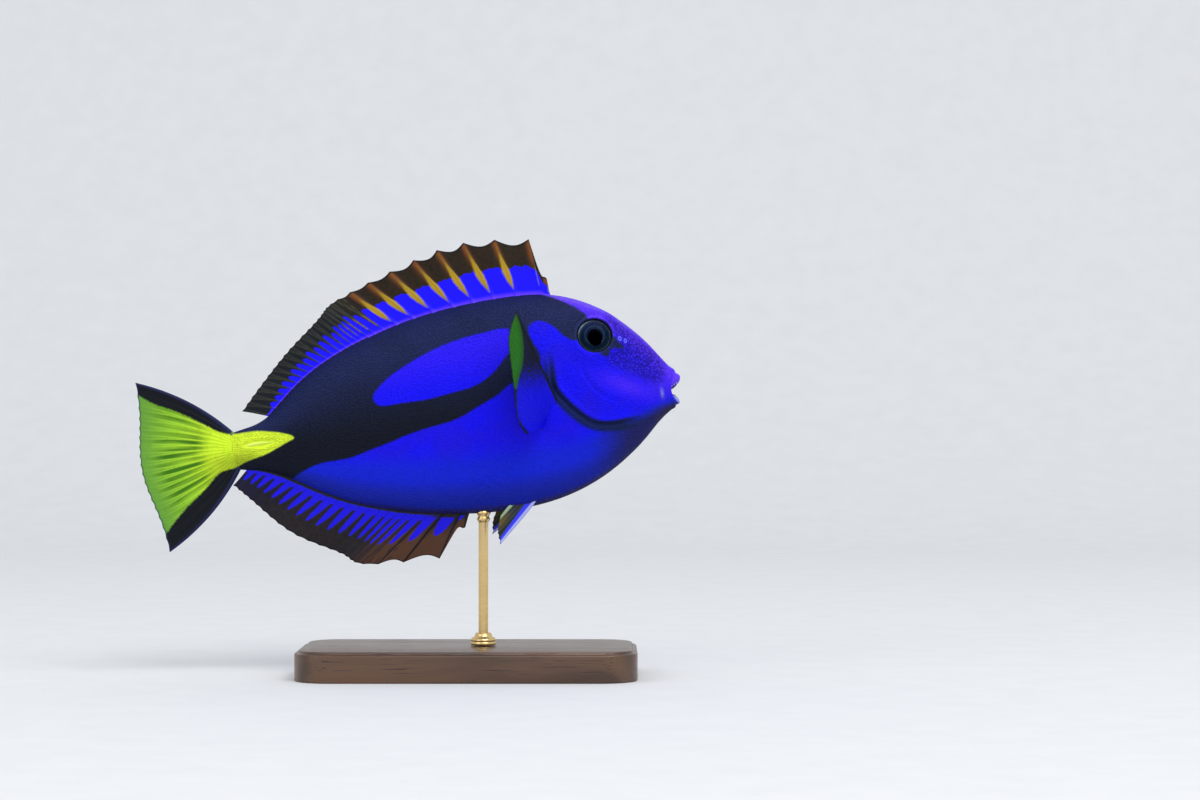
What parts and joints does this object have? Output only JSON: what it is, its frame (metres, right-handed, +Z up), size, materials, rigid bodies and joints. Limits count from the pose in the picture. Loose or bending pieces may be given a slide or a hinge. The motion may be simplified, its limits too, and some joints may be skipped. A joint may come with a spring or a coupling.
{
  "type": "regal blue tang model",
  "caption": "Life-size still model of a regal blue tang, swimming nose up, held by a slim brass rod over a flat wooden base.",
  "frame": {"origin": "middle of the stand's underside, on the surface that it stands on", "axes": "+X along the fish towards its snout, +Z up, +Y to the fish's left"},
  "size_m": [0.1798, 0.058, 0.1449],
  "materials": {
    "skin_blue": "satin scaled skin, bright blue",
    "skin_black": "satin scaled skin, blue black",
    "fin_blue": "rayed fin, blue with dark margin",
    "fin_yellow": "rayed fin, lemon yellow with black edges",
    "fin_green": "rayed fin, dark blue with green edge",
    "eye": "glossy, dark iris and black pupil",
    "blade": "smooth horny spine",
    "wood": "oiled dark walnut",
    "brass": "satin turned brass"
  },
  "bodies": {
    "root": {"stand_base": "wood", "stand_collar": "brass", "stand_rod": "brass", "head": "skin_blue", "gill_cover_left": "skin_blue", "gill_cover_right": "skin_blue", "jaw_upper": "skin_blue", "jaw_lower": "skin_blue", "trunk": "skin_black", "tail_base": "skin_black", "eye_left": "eye", "eye_right": "eye", "tail_blade_left": "blade", "tail_blade_right": "blade", "dorsal_fin": "fin_blue", "anal_fin": "fin_blue", "tail_fin": "fin_yellow", "pectoral_fin_right": "fin_green", "pectoral_fin_left": "fin_green", "pelvic_fin_right": "fin_blue", "pelvic_fin_left": "fin_blue"}
  },
  "joints": []
}
